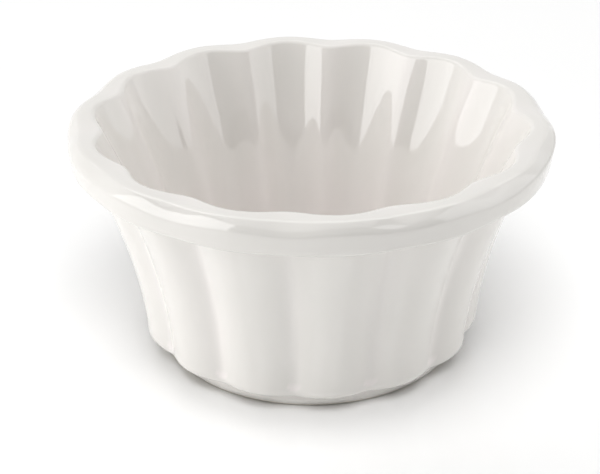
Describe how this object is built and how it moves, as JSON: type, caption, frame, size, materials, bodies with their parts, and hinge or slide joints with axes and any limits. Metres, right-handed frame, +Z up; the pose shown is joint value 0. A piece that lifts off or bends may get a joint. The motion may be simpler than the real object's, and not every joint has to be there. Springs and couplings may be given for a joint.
{
  "type": "sauce dish",
  "caption": "Small round fluted dish for sauces and dips, with a flared lobed wall, a thick scalloped collar and a low foot ring, glazed white.",
  "frame": {"origin": "centre of the circle that the foot ring stands on", "axes": "+Z up along the dish's axis; -Y and +Y pass through the crests of two opposite lobes"},
  "size_m": [0.0814, 0.082, 0.0411],
  "materials": {
    "bare_porcelain": "fired and left bare, matt and fine-grained, seen only on the foot ring",
    "white_glaze": "glossy warm white glaze, slightly pooled in the flutes",
    "underside_white_glaze": "glossy warm white glaze in the recess within the foot ring"
  },
  "bodies": {
    "root": {"porcelain_body": "bare_porcelain", "glaze_coat": "white_glaze", "underside_glaze": "underside_white_glaze"}
  },
  "joints": []
}
